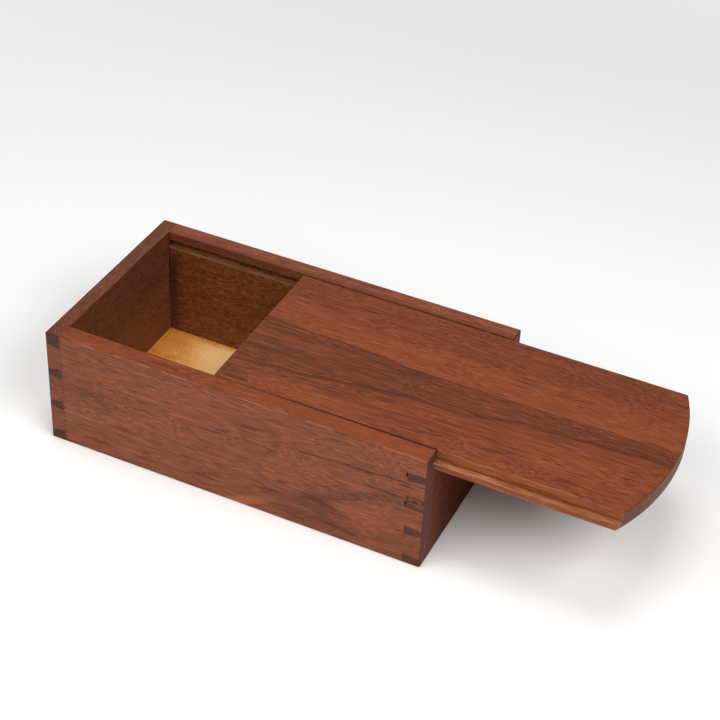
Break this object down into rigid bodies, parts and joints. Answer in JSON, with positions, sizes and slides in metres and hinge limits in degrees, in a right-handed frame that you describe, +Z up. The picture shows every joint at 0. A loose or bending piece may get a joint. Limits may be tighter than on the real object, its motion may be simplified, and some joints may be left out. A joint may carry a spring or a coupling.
{
  "type": "sliding lid box",
  "caption": "Rectangular dovetailed hardwood box with a rebated sliding lid that runs in side grooves and ends in a convex arc, drawn partly out over a low end board.",
  "frame": {"origin": "centre of the box's underside, without the lid's overhang", "axes": "+X the way the lid is drawn out, +Y from the front side to the back side, +Z up"},
  "size_m": [0.302, 0.114, 0.0655],
  "materials": {
    "case_sides": "oiled red-brown hardwood, satin",
    "case_ends": "oiled red-brown hardwood, satin, end grain darker",
    "lid_board": "oiled red-brown hardwood with darker streaks, satin",
    "base_panel": "pale golden softwood plywood, bare"
  },
  "bodies": {
    "box": {"front_side": "case_sides", "back_side": "case_sides", "high_end": "case_ends", "low_end": "case_ends", "bottom_panel": "base_panel"},
    "lid": {"sliding_lid": "lid_board"}
  },
  "joints": [
    {"name": "lid_slide", "type": "slide", "parent": "box", "child": "lid", "axis": [1, 0, 0], "range_m": [-0.0793, 0.117]}
  ]
}
